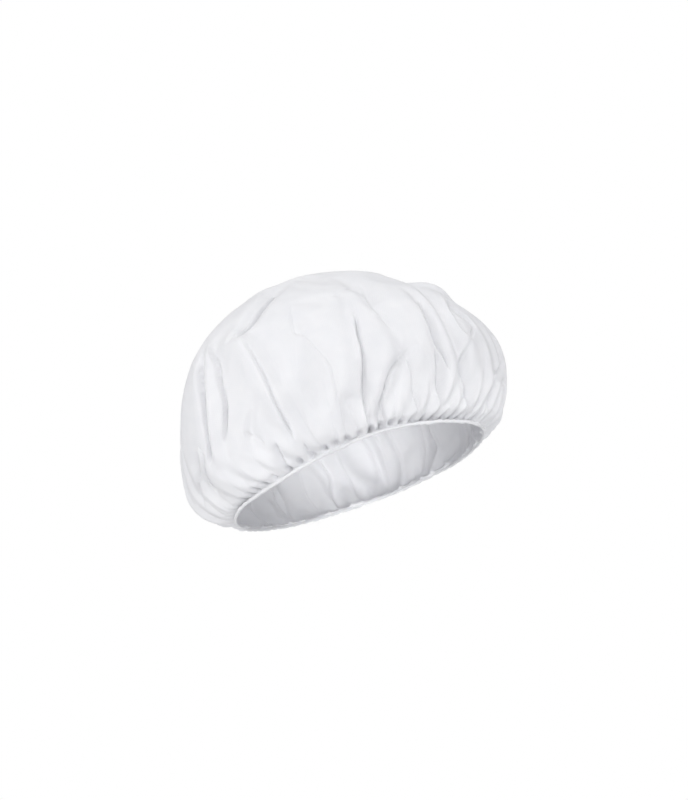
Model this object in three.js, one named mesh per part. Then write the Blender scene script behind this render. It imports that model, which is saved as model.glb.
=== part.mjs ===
// A disposable hair cap: a round sheet of thin nonwoven cloth drawn together on an elastic, so that it puffs
// out over the hair and is open below. It is held in the form that it has when worn.
//
// Millimetres, +Z up. The origin is the middle of the opening, level with the lower edge of the hem. +X is
// the front of the cap and the long axis of its oval opening. Round the cap an angle of 0 degrees is the
// front, 90 the side at +Y, 180 the back and 270 the side at -Y. Up the cloth a share of 0 is the hem and
// 1 the top.
import * as THREE from 'three';

// The opening, an oval, measured at the middle of the hem
const OPENING_HALF_LENGTH = 99.5;
const OPENING_TO_LEFT = 79; // from the middle to the side at +Y
const OPENING_TO_RIGHT = 82; // from the middle to the side at -Y

// The opening's edge isn't level. Its height at some angles, with a smooth curve through them.
const OPENING_EDGE = [
  { angle: 0, height: 0 },
  { angle: 45, height: 0.2 },
  { angle: 90, height: 2.3 },
  { angle: 135, height: 1.5 },
  { angle: 180, height: 0 },
  { angle: 210, height: -1 },
  { angle: 235, height: -1.5 },
  { angle: 260, height: 1.2 },
  { angle: 285, height: 3 },
  { angle: 310, height: 1 },
  { angle: 335, height: -0.5 },
];

// The puffed crown, widest at the bulge, which stands out over the hem all round
const BULGE_BACK = 126;
const BULGE_FRONT = 131.5;
const BULGE_SIDE = 105;
const BULGE_HEIGHT_BACK = 39;
const BULGE_HEIGHT_FRONT = 58;
const BULGE_HEIGHT_SIDE = 49;
const CROWN_HEIGHT = 164.5;
const CROWN_LEAN = -15.5; // the top lies this far along X, towards the back
const CROWN_ROUNDNESS = 1.93; // the power of the oval that the upper crown follows, 2 for a plain one
const BULGE_SHARE = 0.2; // the share of the cloth that lies below the bulge
const LEAVING_ANGLE = 28; // degrees: where on its quarter oval the cloth leaves the hem, rising outwards

const CLOTH_WALL = 1.5;

// The hem, a flat narrow roll of cloth with the elastic inside it
const HEM_HEIGHT = 6.5;
const HEM_THICKNESS = 3.4;
const HEM_GAP = 0.35; // between the hem and the cloth of the crown above it
const HEM_SCALLOP = 0.35; // how far the gathers swell and pinch the roll

// Triangles: columns round the cap, and the shares up the cloth of the rings of vertices. Each row after the
// first has half as many columns as the row before.
const COLUMNS = 160;
const RINGS = [
  { columns: COLUMNS, shares: [0, 0.02, 0.045, 0.08, 0.12, 0.165, 0.215, 0.27, 0.33, 0.395, 0.46, 0.52] },
  { columns: COLUMNS / 2, shares: [0.59, 0.66, 0.73, 0.8, 0.87] },
  { columns: COLUMNS / 4, shares: [0.94] },
];
const HEM_SIDES = 6;

// Gathers drawn up by the elastic. Each row is one set round the hem: how many, how deep in mm, the share up
// the cloth where the set is deepest and where it ends, how far the spacing strays, in degrees, and its
// phase.
const GATHERS = [
  { count: 40, depth: 1.7, deepest: 0.04, end: 0.13, stray: 2.6, phase: 0 },
  { count: 23, depth: 1.2, deepest: 0.1, end: 0.3, stray: 5, phase: 70 },
  { count: 13, depth: 0.8, deepest: 0.22, end: 0.6, stray: 9, phase: 200 },
];

const GATHER_AT_HEM = 0.12; // the share of its depth that a set still has at the hem itself
const STRAY_WAVES = [3, 7]; // the spacing strays in waves, this many round the cap
const GATHER_DRIFT = 1.2; // radians: how far the gathers drift sideways from the hem to the top
const DRIFT_WAVES = 2;
const UNEVEN_SHARE = 0.25; // some gathers are shallower than others, by up to twice this share
const UNEVEN_WAVES = 5;

// Folds. Each row is one fold: its angle round the cap at its lower end, halfway and at its upper end, the
// shares up the cloth where it begins and ends, its half width in mm, how far it stands out in mm (a valley is
// below 0), and how many times wider its slope is on the side of the larger angles.
const FOLDS = [
  // the side at -Y, from the back round to the front
  { low: 193, mid: 190, high: 191, begin: 0.08, end: 0.55, half: 10, rise: -4.5, slope: 1.3 },
  { low: 204, mid: 203, high: 206, begin: 0.05, end: 0.19, half: 11, rise: -6.5, slope: 1.4 },
  { low: 217, mid: 222, high: 220, begin: 0.15, end: 0.6, half: 6.5, rise: -5, slope: 1.5 },
  { low: 221, mid: 228, high: 226, begin: 0.17, end: 0.56, half: 6, rise: 3, slope: 1 },
  { low: 225, mid: 235, high: 231, begin: 0.12, end: 0.58, half: 6, rise: -5.5, slope: 1.6 },
  { low: 238, mid: 240, high: 245, begin: 0.11, end: 0.21, half: 5, rise: -3, slope: 1 },
  { low: 246, mid: 247, high: 248, begin: 0.0, end: 0.15, half: 5, rise: -4, slope: 1.2 },
  { low: 254, mid: 252.5, high: 244, begin: 0.03, end: 0.52, half: 15, rise: 6, slope: 0.45 },
  { low: 244, mid: 258, high: 274, begin: 0.5, end: 0.8, half: 6, rise: -5, slope: 1.6 },
  { low: 330, mid: 316, high: 268, begin: 0.62, end: 0.86, half: 22, rise: 3.5, slope: 1 },
  { low: 264, mid: 263, high: 270, begin: 0.04, end: 0.4, half: 9, rise: 3.5, slope: 0.8 },
  { low: 272, mid: 271, high: 274, begin: 0.02, end: 0.12, half: 4.5, rise: -3.5, slope: 1 },
  { low: 280, mid: 283, high: 292, begin: 0.02, end: 0.5, half: 6, rise: -6.5, slope: 1.5 },
  { low: 286, mid: 290, high: 299, begin: 0.03, end: 0.21, half: 4.5, rise: -4, slope: 1 },
  { low: 293, mid: 294, high: 297, begin: 0.04, end: 0.17, half: 7, rise: 3, slope: 1 },
  { low: 301, mid: 299, high: 305, begin: 0.1, end: 0.62, half: 8, rise: -4.5, slope: 1.3 },
  { low: 308, mid: 312, high: 318, begin: 0.02, end: 0.44, half: 6, rise: -6, slope: 1.3 },
  { low: 325, mid: 320, high: 331, begin: 0.02, end: 0.5, half: 6, rise: -6.5, slope: 1.4 },
  { low: 336, mid: 336, high: 336, begin: 0.53, end: 0.57, half: 9, rise: -3, slope: 1 },
  { low: 347, mid: 344, high: 341, begin: 0.41, end: 0.52, half: 9, rise: 7, slope: 0.9 },
  { low: 358, mid: 356, high: 352, begin: 0.06, end: 0.28, half: 11, rise: 3.5, slope: 1 },
  { low: 337, mid: 341, high: 352, begin: 0.01, end: 0.15, half: 6, rise: -4.5, slope: 1 },
  // the front, the side at +Y and the back, in the same manner
  { low: 368, mid: 366, high: 362, begin: 0.1, end: 0.55, half: 8, rise: -5, slope: 1.4 },
  { low: 13, mid: 14, high: 12, begin: 0.03, end: 0.34, half: 7, rise: 3.5, slope: 0.8 },
  { low: 19, mid: 17, high: 22, begin: 0.02, end: 0.48, half: 6.5, rise: -6, slope: 1.4 },
  { low: 31, mid: 36, high: 34, begin: 0.04, end: 0.26, half: 6, rise: -4.5, slope: 1 },
  { low: 44, mid: 43, high: 38, begin: 0.04, end: 0.58, half: 13, rise: 5.5, slope: 0.5 },
  { low: 57, mid: 55, high: 50, begin: 0.02, end: 0.5, half: 6.5, rise: -6, slope: 1.4 },
  { low: 68, mid: 72, high: 78, begin: 0.08, end: 0.38, half: 7, rise: -4, slope: 1 },
  { low: 82, mid: 84, high: 80, begin: 0.03, end: 0.44, half: 11, rise: 4.5, slope: 0.7 },
  { low: 94, mid: 95, high: 101, begin: 0.02, end: 0.6, half: 6.5, rise: -6, slope: 1.5 },
  { low: 106, mid: 103, high: 98, begin: 0.55, end: 0.82, half: 11, rise: -4, slope: 1 },
  { low: 109, mid: 106, high: 108, begin: 0.02, end: 0.24, half: 5.5, rise: -4, slope: 1 },
  { low: 119, mid: 117, high: 113, begin: 0.05, end: 0.5, half: 12, rise: 5, slope: 0.6 },
  { low: 131, mid: 128, high: 124, begin: 0.02, end: 0.42, half: 6.5, rise: -5.5, slope: 1.4 },
  { low: 142, mid: 145, high: 151, begin: 0.06, end: 0.3, half: 7, rise: -4, slope: 1 },
  { low: 152, mid: 155, high: 152, begin: 0.1, end: 0.56, half: 11, rise: 4.5, slope: 0.7 },
  { low: 163, mid: 166, high: 163, begin: 0.02, end: 0.5, half: 6.5, rise: -6, slope: 1.4 },
  { low: 178, mid: 176, high: 172, begin: 0.05, end: 0.4, half: 9, rise: 4, slope: 0.7 },
];
const FOLD_FADE = 0.07; // the share of the cloth over which a fold begins and ends
const TOP_SMOOTH_FROM = 0.86; // folds fade out between these shares, towards the top
const TOP_SMOOTH_TO = 0.98;
const HEM_TURN_SHARE = 0.06; // below this share the folds turn from square to the crown to level

const CLOTH_COLOUR = '#f1f2f6';
const HEM_COLOUR = '#f4f5f8';

const TURN = 2 * Math.PI;
const radians = (degrees) => (degrees * Math.PI) / 180;

// 0 below the first edge, 1 above the second and a soft step between them
function step(low, high, value) {
  const t = Math.min(1, Math.max(0, (value - low) / (high - low)));
  return t * t * (3 - 2 * t);
}

// A size that has one value at the front, one at each side and one at the back
function around(front, side, back, angle) {
  const end = Math.cos(angle) >= 0 ? front : back;
  return end + (side - end) * Math.sin(angle) ** 2;
}

// The height of the opening's edge: between two rows of the table it is a cubic whose slope at each row is
// that from the row before to the row after
function openingHeight(angle) {
  const degrees = (((angle * 360) / TURN) % 360 + 360) % 360;
  const n = OPENING_EDGE.length;
  const row = (i) => {
    const { angle: at, height } = OPENING_EDGE[((i % n) + n) % n];
    return { at: at + 360 * Math.floor(i / n), height };
  };
  let i = n - 1;
  while (row(i).at > degrees) i -= 1;
  const [before, low, high, after] = [row(i - 1), row(i), row(i + 1), row(i + 2)];
  const span = high.at - low.at;
  const slopeLow = ((high.height - before.height) / (high.at - before.at)) * span;
  const slopeHigh = ((after.height - low.height) / (after.at - low.at)) * span;
  const t = (degrees - low.at) / span;
  return (
    (1 + 2 * t) * (1 - t) ** 2 * low.height +
    t * (1 - t) ** 2 * slopeLow +
    t ** 2 * (3 - 2 * t) * high.height +
    t ** 2 * (t - 1) * slopeHigh
  );
}

// How far the opening reaches to the side on which an angle lies
function openingWidth(angle) {
  return Math.sin(angle) >= 0 ? OPENING_TO_LEFT : OPENING_TO_RIGHT;
}

// The crown without folds: part of a quarter oval from the hem out to the bulge, then a dome that leans back
function smoothPoint(angle, share) {
  const c = Math.cos(angle);
  const s = Math.sin(angle);
  const hem = openingHeight(angle) + HEM_HEIGHT + HEM_GAP;
  const reach = c >= 0 ? BULGE_FRONT : BULGE_BACK;
  const bulge = around(BULGE_HEIGHT_FRONT, BULGE_HEIGHT_SIDE, BULGE_HEIGHT_BACK, angle);
  if (share <= BULGE_SHARE) {
    const start = radians(LEAVING_ANGLE);
    const t = start + (share / BULGE_SHARE) * (Math.PI / 2 - start);
    const out = (Math.sin(t) - Math.sin(start)) / (1 - Math.sin(start));
    const up = 1 - Math.cos(t) / Math.cos(start);
    const x = OPENING_HALF_LENGTH + (reach - OPENING_HALF_LENGTH) * out;
    const width = openingWidth(angle);
    const y = width + (BULGE_SIDE - width) * out;
    return new THREE.Vector3(x * c, y * s, hem + (bulge - hem) * up);
  }
  const t = (((share - BULGE_SHARE) / (1 - BULGE_SHARE)) * Math.PI) / 2;
  const inward = Math.max(0, Math.cos(t)) ** (2 / CROWN_ROUNDNESS);
  const upward = Math.sin(t) ** (2 / CROWN_ROUNDNESS);
  const lean = CROWN_LEAN * Math.sin(t) ** 2;
  return new THREE.Vector3(
    reach * inward * c + lean,
    BULGE_SIDE * inward * s,
    bulge + (CROWN_HEIGHT - bulge) * upward,
  );
}

// The direction that faces out of a surface given as a function of angle and share
function outward(surface, angle, share) {
  const da = 1e-3;
  const ds = 1e-3;
  const above = Math.min(share + ds, 0.999);
  const below = Math.max(above - 2 * ds, 0);
  const along = surface(angle + da, share).sub(surface(angle - da, share));
  const up = surface(angle, above).sub(surface(angle, below));
  return along.cross(up).normalize();
}

// The width in mm of one radian of the cap at a place on the cloth
function radiusAt(angle, share) {
  const middle = CROWN_LEAN * step(BULGE_SHARE, 1, share);
  const p = smoothPoint(angle, share);
  return Math.hypot(p.x - middle, p.y);
}

// How far the gathers push the cloth out or in
function gatherDepth(angle, share) {
  let depth = 0;
  for (const set of GATHERS) {
    const grows = GATHER_AT_HEM + (1 - GATHER_AT_HEM) * step(0, set.deepest, share);
    const fades = 1 - step(set.deepest, set.end, share);
    const phase = radians(set.phase);
    const [slow, quick] = STRAY_WAVES;
    const stray = radians(set.stray) * (Math.sin(slow * angle + phase) + Math.sin(quick * angle + 2 * phase));
    const drift = GATHER_DRIFT * share * Math.sin(DRIFT_WAVES * angle + phase);
    const wave = Math.cos(set.count * (angle + stray / Math.PI + drift) + phase);
    const uneven = 1 - UNEVEN_SHARE + UNEVEN_SHARE * Math.sin(UNEVEN_WAVES * angle + phase);
    depth += set.depth * grows * fades * uneven * wave;
  }
  return depth;
}

// How far the folds of the table push the cloth out or in
function foldDepth(angle, share) {
  let depth = 0;
  for (const fold of FOLDS) {
    const start = step(fold.begin - FOLD_FADE, fold.begin + FOLD_FADE, share);
    const finish = 1 - step(fold.end - FOLD_FADE, fold.end + FOLD_FADE, share);
    if (start * finish === 0) continue;
    const t = Math.min(1, Math.max(0, (share - fold.begin) / (fold.end - fold.begin)));
    const path = (1 - t) * (1 - 2 * t) * fold.low + 4 * t * (1 - t) * fold.mid + t * (2 * t - 1) * fold.high;
    const turns = (angle - radians(path)) / TURN;
    const away = (turns - Math.round(turns)) * TURN * radiusAt(angle, share);
    const half = away > 0 ? fold.half * fold.slope : fold.half;
    depth += fold.rise * start * finish * Math.exp(-((away / half) ** 2));
  }
  return depth;
}

// The outer face of the cloth, folds and all. Folds stand out square to the smooth crown, and level at the
// hem.
function clothPoint(angle, share) {
  const p = smoothPoint(angle, share);
  const atTop = 1 - step(TOP_SMOOTH_FROM, TOP_SMOOTH_TO, share);
  const depth = (gatherDepth(angle, share) + foldDepth(angle, share)) * atTop;
  const level = new THREE.Vector3(Math.cos(angle), Math.sin(angle), 0);
  const square = outward(smoothPoint, angle, share);
  const direction = level.lerp(square, step(0, HEM_TURN_SHARE, share)).normalize();
  return p.addScaledVector(direction, depth);
}

// A ring of points right round the cloth, on its outer or inner face
function clothRing(columns, share, inner) {
  const ring = [];
  for (let i = 0; i < columns; i += 1) {
    const angle = (i / columns) * TURN;
    const p = clothPoint(angle, share);
    if (inner) {
      const folded = outward(clothPoint, angle, share);
      const smooth = outward(smoothPoint, angle, share);
      p.addScaledVector(folded.add(smooth).normalize(), -CLOTH_WALL);
    }
    ring.push(p);
  }
  return ring;
}

// A mesh that is gathered ring by ring. A ring may have as many points as the one before it, or half as many.
class RingMesh {
  constructor() {
    this.positions = [];
    this.triangles = [];
  }

  add(ring) {
    const first = this.positions.length / 3;
    for (const p of ring) this.positions.push(p.x, p.y, p.z);
    return { first, count: ring.length };
  }

  triangle(a, b, c, flipped) {
    this.triangles.push(...(flipped ? [a, c, b] : [a, b, c]));
  }

  join(lower, upper, flipped = false) {
    const ratio = lower.count / upper.count;
    for (let i = 0; i < upper.count; i += 1) {
      const u0 = upper.first + i;
      const u1 = upper.first + ((i + 1) % upper.count);
      const l = [];
      for (let k = 0; k <= ratio; k += 1) l.push(lower.first + ((i * ratio + k) % lower.count));
      const last = l[l.length - 1];
      if (ratio === 1) {
        this.triangle(l[0], last, u1, flipped);
        this.triangle(l[0], u1, u0, flipped);
      } else {
        this.triangle(l[0], l[1], u0, flipped);
        this.triangle(l[1], u1, u0, flipped);
        this.triangle(l[1], last, u1, flipped);
      }
    }
  }

  close(ring, point, flipped = false) {
    const top = this.add([point]).first;
    for (let i = 0; i < ring.count; i += 1) {
      this.triangle(ring.first + i, ring.first + ((i + 1) % ring.count), top, flipped);
    }
  }

  geometry() {
    const geometry = new THREE.BufferGeometry();
    geometry.setAttribute('position', new THREE.Float32BufferAttribute(this.positions, 3));
    geometry.setIndex(this.triangles);
    geometry.computeVertexNormals();
    return geometry;
  }
}

// The crown: the outer and the inner face of one sheet, joined along its edge above the hem
function crownGeometry() {
  const mesh = new RingMesh();
  const edges = [];
  for (const inner of [false, true]) {
    let last = null;
    for (const row of RINGS) {
      for (const share of row.shares) {
        const ring = mesh.add(clothRing(row.columns, share, inner));
        if (last) mesh.join(last, ring, inner);
        else edges.push(ring);
        last = ring;
      }
    }
    const top = smoothPoint(0, 1);
    if (inner) top.z -= CLOTH_WALL;
    mesh.close(last, top, inner);
  }
  mesh.join(edges[1], edges[0]);
  return mesh.geometry();
}

// The hem: a flattened roll that follows the opening and is pinched a little by each gather
function hemGeometry() {
  const mesh = new RingMesh();
  const gathers = GATHERS[0].count;
  const rings = [];
  for (let side = 0; side < HEM_SIDES; side += 1) {
    const turn = ((side + 0.5) / HEM_SIDES) * TURN;
    const ring = [];
    for (let i = 0; i < COLUMNS; i += 1) {
      const angle = (i / COLUMNS) * TURN;
      const swell = HEM_SCALLOP * Math.cos(gathers * angle);
      const out = (HEM_THICKNESS / 2 + swell) * Math.cos(turn) / Math.cos(TURN / HEM_SIDES / 2);
      const up = (HEM_HEIGHT / 2) * Math.sin(turn);
      ring.push(
        new THREE.Vector3(
          (OPENING_HALF_LENGTH + out) * Math.cos(angle),
          (openingWidth(angle) + out) * Math.sin(angle),
          openingHeight(angle) + HEM_HEIGHT / 2 + up,
        ),
      );
    }
    rings.push(mesh.add(ring));
  }
  rings.forEach((ring, side) => mesh.join(ring, rings[(side + 1) % HEM_SIDES]));
  return mesh.geometry();
}

function piece(name, geometry, colour, roughness) {
  const material = new THREE.MeshStandardMaterial({ color: colour, roughness, metalness: 0 });
  const mesh = new THREE.Mesh(geometry, material);
  mesh.name = name;
  return mesh;
}

const cap = new THREE.Group();
cap.add(piece('crown', crownGeometry(), CLOTH_COLOUR, 0.8));
cap.add(piece('elastic_band', hemGeometry(), HEM_COLOUR, 0.75));

export default cap;
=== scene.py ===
import math

import bpy
import numpy as np
from mathutils import Matrix, Vector


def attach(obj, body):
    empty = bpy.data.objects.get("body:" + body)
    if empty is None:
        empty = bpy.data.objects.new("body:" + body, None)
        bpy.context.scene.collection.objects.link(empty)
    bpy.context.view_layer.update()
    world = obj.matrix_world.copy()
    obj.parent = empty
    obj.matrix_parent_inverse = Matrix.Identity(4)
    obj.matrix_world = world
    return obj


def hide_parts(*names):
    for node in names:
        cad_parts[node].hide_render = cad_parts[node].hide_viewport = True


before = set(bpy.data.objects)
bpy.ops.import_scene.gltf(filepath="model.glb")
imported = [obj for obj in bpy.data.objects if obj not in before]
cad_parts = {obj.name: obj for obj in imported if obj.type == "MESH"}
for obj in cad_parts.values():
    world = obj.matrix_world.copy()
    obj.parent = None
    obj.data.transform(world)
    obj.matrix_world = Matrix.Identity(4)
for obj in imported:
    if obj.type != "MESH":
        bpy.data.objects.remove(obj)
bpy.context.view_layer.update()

MM = 0.001
TURN = 2 * np.pi
SEED = 11
rng = np.random.default_rng(SEED)

# The cap's form in mm: that of the solids, a little smaller where the simulated cloth swells, and with a
# thinner hem. Angles run round it in degrees, from the front at +X over the far side at +Y. Shares run up the
# cloth, from 0 at the hem to 1 at the top.
OPENING_HALF_LENGTH = 99.5
OPENING_TO_LEFT = 79
OPENING_TO_RIGHT = 82
# the height of the opening's edge at some angles, with a smooth curve through them
OPENING_EDGE = [(0, 0), (45, 0.2), (90, 2.3), (135, 1.5), (180, 0), (210, -1), (235, -1.5), (260, 1.2),
                (285, 3), (310, 1), (335, -0.5)]
# how far the bulge stands out and how high it lies, at the back, at the front and at the sides
BULGE_BACK, BULGE_FRONT, BULGE_SIDE = 124.8, 131, 105
BULGE_HEIGHT_BACK, BULGE_HEIGHT_FRONT, BULGE_HEIGHT_SIDE = 39, 58, 49
# the share at which the bulge is widest, and the angle on an ellipse at which the cloth below it starts
BULGE_SHARE = 0.2
LEAVING_ANGLE = 28
# the dome above the bulge: its height, where its top lies along X, and the power of its section
CROWN_HEIGHT = 163
CROWN_LEAN = -15.5
CROWN_ROUNDNESS = 1.93
HEM_HEIGHT = 2.8
HEM_THICKNESS = 2.6
# the share at the cloth's foot, which stands inside the hem
CLOTH_FOOT = -0.02
# from the hem to the top along the cloth, near enough
CLOTH_UP = 250
# depths are level at the hem, and square to the cloth from this share on
SQUARE_FROM = 0.06

# Folds, one row each: the angle round the cap at the lower end, halfway and at the upper end, the shares up
# the cloth where it begins and ends, half width and rise in mm, and how many times wider its slope is towards
# the larger angles.
FOLD_COLUMNS = ("low", "mid", "high", "begin", "end", "half", "rise", "slope")
FOLDS = [
    (193, 190, 191, 0.08, 0.55, 10, -4.5, 1.3),
    (204, 203, 206, 0.05, 0.19, 11, -6.5, 1.4),
    (217, 222, 220, 0.15, 0.60, 6.5, -2.0, 1.5),
    (221, 228, 226, 0.17, 0.56, 6, 3, 1),
    (225, 235, 231, 0.12, 0.58, 6, -2.2, 1.6),
    (238, 240, 245, 0.11, 0.21, 5, -3, 1),
    (246, 247, 248, 0.00, 0.15, 5, -4, 1.2),
    (254, 252.5, 244, 0.03, 0.52, 15, 6, 0.45),
    (244, 258, 274, 0.50, 0.80, 6, -5, 1.6),
    (330, 316, 268, 0.62, 0.86, 22, 3.5, 1),
    (264, 263, 270, 0.04, 0.40, 9, 3.5, 0.8),
    (272, 271, 274, 0.02, 0.12, 4.5, -3.5, 1),
    (280, 283, 292, 0.02, 0.50, 5, -2.6, 1.5),
    (286, 290, 299, 0.03, 0.21, 4.5, -4, 1),
    (293, 294, 297, 0.04, 0.17, 7, 3, 1),
    (301, 299, 305, 0.10, 0.62, 8, -4.5, 1.3),
    (308, 312, 318, 0.02, 0.44, 5, -3.2, 1.3),
    (325, 320, 331, 0.02, 0.50, 5, -3.6, 1.4),
    (336, 336, 336, 0.53, 0.57, 9, -3, 1),
    (347, 344, 341, 0.46, 0.52, 9, 7.5, 0.9),
    (345, 345, 345, 0.37, 0.41, 8, -2.5, 1),
    (358, 356, 352, 0.06, 0.28, 11, 2.5, 1),
    (337, 341, 352, 0.01, 0.15, 6, -4.5, 1),
    (368, 366, 362, 0.10, 0.55, 8, -5, 1.4),
    (13, 14, 12, 0.03, 0.34, 7, 3.5, 0.8),
    (19, 17, 22, 0.02, 0.48, 6.5, -6, 1.4),
    (31, 36, 34, 0.04, 0.26, 6, -4.5, 1),
    (44, 43, 38, 0.04, 0.58, 13, 5.5, 0.5),
    (57, 55, 50, 0.02, 0.50, 6.5, -6, 1.4),
    (68, 72, 78, 0.08, 0.38, 7, -4, 1),
    (82, 84, 80, 0.03, 0.44, 11, 4.5, 0.7),
    (94, 95, 101, 0.02, 0.60, 6.5, -6, 1.5),
    (106, 103, 98, 0.55, 0.82, 11, -4, 1),
    (109, 106, 108, 0.02, 0.24, 5.5, -4, 1),
    (119, 117, 113, 0.05, 0.50, 12, 5, 0.6),
    (131, 128, 124, 0.02, 0.42, 6.5, -5.5, 1.4),
    (142, 145, 151, 0.06, 0.30, 7, -4, 1),
    (152, 155, 152, 0.10, 0.56, 11, 4.5, 0.7),
    (163, 166, 163, 0.02, 0.50, 6.5, -6, 1.4),
    (178, 176, 172, 0.05, 0.40, 9, 4, 0.7),
]
# each one comes and goes over this share to either side of its ends
FOLD_FADE = 0.07
# between these shares all folds, gathers and creases fade out, towards the smooth top
TOP_SMOOTH = (0.86, 0.98)

# Gathers, one row per set: count, depth in mm, the shares where the set is deepest and where it ends, how
# much its spacing strays (at most 0.64 of this in degrees), and its phase in degrees
GATHERS = [
    (40, 2.2, 0.05, 0.17, 2.6, 0),
    (23, 1.7, 0.12, 0.34, 5, 70),
    (13, 0.8, 0.22, 0.60, 9, 200),
]
# the share of its depth that a set has at the hem
GATHER_AT_HEM = 0.12
# the waves round the cap in which the spacing strays, the lines drift sideways and the depth varies
STRAY_WAVES = (3, 7)
DRIFT_WAVES = 2
UNEVEN_WAVES = 5
# the drift in radians per share, and the share of the depth that varies
GATHER_DRIFT = 1.2
UNEVEN_SHARE = 0.25
# on the far side the gathers are deeper by this share, which grows between these sines of the angle
FAR_SIDE_DEEPER = 0.25
FAR_SIDE = (0, 0.5)

# Where the gathers, puckers and small wrinkles are weaker: the angle, the half width in degrees and the share
CALM_AT, CALM_HALF, CALM = 205, 35, 0.85

# Creases: sharp lines where the cloth is tucked or bent. One row each: depth and half width of the groove in
# mm, how far the cloth beside it stands out in mm (on the side of the smaller angles where above 0), and the
# places that it passes, from the top down, each an angle in degrees and a share up the cloth.
CREASE_COLUMNS = ("depth", "half", "lip", "path")
CREASES = [
    (5.4, 1.6, 2.2, [(270, 0.74), (268, 0.72), (257, 0.62), (252, 0.56), (248.5, 0.52), (245, 0.48)]),
    (2.6, 1.2, 1.6, [(249, 0.47), (251, 0.375), (252.5, 0.28), (253, 0.20), (253.5, 0.14), (253.5, 0.08)]),
    (8.0, 1.9, 2.0, [(219, 0.57), (220, 0.49), (222, 0.38), (221.5, 0.295), (220, 0.21), (216, 0.16)]),
    (4.4, 1.2, 1.4, [(224, 0.61), (233, 0.46), (233.5, 0.38), (233.5, 0.30), (231.5, 0.24), (228, 0.17)]),
    (2.4, 1.3, -0.8, [(215, 0.235), (207, 0.18), (197, 0.145), (187, 0.10)]),
    (2.2, 1.3, 0.6, [(215, 0.235), (214, 0.186), (207, 0.135), (203, 0.08)]),
    (2.0, 1.2, 0.7, [(237, 0.17), (240.5, 0.142), (243, 0.11)]),
    (3.0, 1.3, -0.8, [(247, 0.10), (245, 0.05), (243.5, 0.0)]),
    (1.0, 1.6, 0.5, [(267, 0.40), (270, 0.36), (272, 0.30), (273.5, 0.24), (273, 0.18), (272, 0.12),
                     (272, 0.05)]),
    (2.2, 1.2, 0.5, [(256, 0.07), (255, 0.03), (254.5, 0.0)]),
    (3.8, 1.2, 1.4, [(293, 0.48), (287, 0.34), (285, 0.26), (283, 0.19), (281, 0.136), (280, 0.08),
                     (280, 0.0)]),
    (1.8, 2.0, 0.8, [(310, 0.60), (301, 0.49), (298, 0.41), (297.5, 0.36), (298, 0.30)]),
    (3.2, 1.4, -1.6, [(299, 0.20), (294, 0.176), (290, 0.146), (287.5, 0.108), (286, 0.076), (287, 0.02)]),
    (2.0, 1.3, 0.7, [(298, 0.20), (298.5, 0.142), (297.5, 0.096), (299, 0.052), (299.5, 0.0)]),
    (5.0, 1.4, 1.6, [(319, 0.41), (314, 0.337), (312, 0.27), (311.5, 0.206), (312.5, 0.168), (313.5, 0.12)]),
    (2.8, 1.3, 0.6, [(310.5, 0.20), (309, 0.136), (309, 0.08), (311, 0.01)]),
    (3.4, 1.4, 1.0, [(328.5, 0.198), (322.5, 0.16), (320.5, 0.12), (323, 0.076), (327, 0.03), (330, 0.0)]),
    (5.6, 1.5, 1.8, [(341.5, 0.455), (328.5, 0.353), (325.5, 0.283), (325.5, 0.232), (328.5, 0.198)]),
    (3.0, 1.4, -0.8, [(328.5, 0.353), (330.5, 0.317), (333, 0.285), (333.5, 0.248), (328.5, 0.198)]),
    (2.4, 1.4, 0.8, [(338, 0.125), (348.5, 0.11), (360, 0.115)]),
    (2.6, 1.4, 0.8, [(341, 0.09), (342, 0.066), (343.5, 0.036), (347, 0.0)]),
    (1.0, 2.0, 0.5, [(303, 0.58), (293.5, 0.53), (287, 0.507)]),
    (0.8, 2.0, 0.4, [(272.5, 0.563), (268.5, 0.455), (268, 0.377), (276, 0.35)]),
]
# Round the rest of the cap creases follow at random within these bounds, one in each sector. Their paths turn
# by up to so many degrees from one point to the next.
OTHER_CREASES = {"from": 2, "to": 178, "count": 24, "depth": (1.8, 3.6), "half": (1.6, 2.8),
                 "lip": (0.4, 1.3), "top": (0.22, 0.62), "foot": (0.0, 0.05), "bend": 3.5, "points": 5}
# in half widths: how far the groove's gentle side reaches, and how far the lip on the other, steep side does
GROOVE_REACH = 1.3
LIP_REACH = 4.5
# how steep that side is, as the power of e by which it falls off in a half width
GROOVE_STEEPNESS = 2.2
# the parts of its length over which a crease comes and goes; one that ends below this share runs into the hem
CREASE_COMES = (-0.02, 0.22)
CREASE_GOES = (0.86, 1.02)
CREASE_INTO_HEM = 0.02
# a crease is worked out within this share and this many degrees of its path
CREASE_NEAR_SHARE = 0.06
CREASE_NEAR_DEGREES = 14
# the straight pieces that stand for the curve between two of its points
PATH_PIECES = 6

# Puckers, where the hem pinches the cloth into a small dark pit: those that are seen, as angles; the rest
# follow at random with this spacing in degrees
SEEN_PUCKERS = [212.5, 219, 224, 230, 236, 243.5, 249.5, 255.5, 261, 266, 270.5, 276, 281, 285.5, 289.5, 294,
                298.5, 304.5, 309.5, 315, 320, 325, 331, 338.5]
PUCKER_SPACING = (4.0, 7.0)
# the bounds of a pucker's share of the full depth, half width in mm, reach up the cloth as a share, and slant
# in degrees per share
PUCKER_BOUNDS = [(0.6, 1.0), (0.9, 1.5), (0.03, 0.12), (-25, 25)]
# the full depth in mm, the share where it is reached, the share from which it falls off, how fast a pucker
# widens up the cloth, the power of its section, and the shares where all puckers end
PUCKER_DEPTH = 4.2
PUCKER_FULL = 0.016
PUCKER_FALLS = 0.01
PUCKER_WIDENS = 14
PUCKER_POWER = 1.3
PUCKERS_END = (0.2, 0.36)

# Bands of shares: where the band begins, is full, starts to close and ends.
# Between the puckers the cloth swells by this many mm.
SWELL = 2.8
SWELL_BAND = (0.004, 0.026, 0.03, 0.14)
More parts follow.
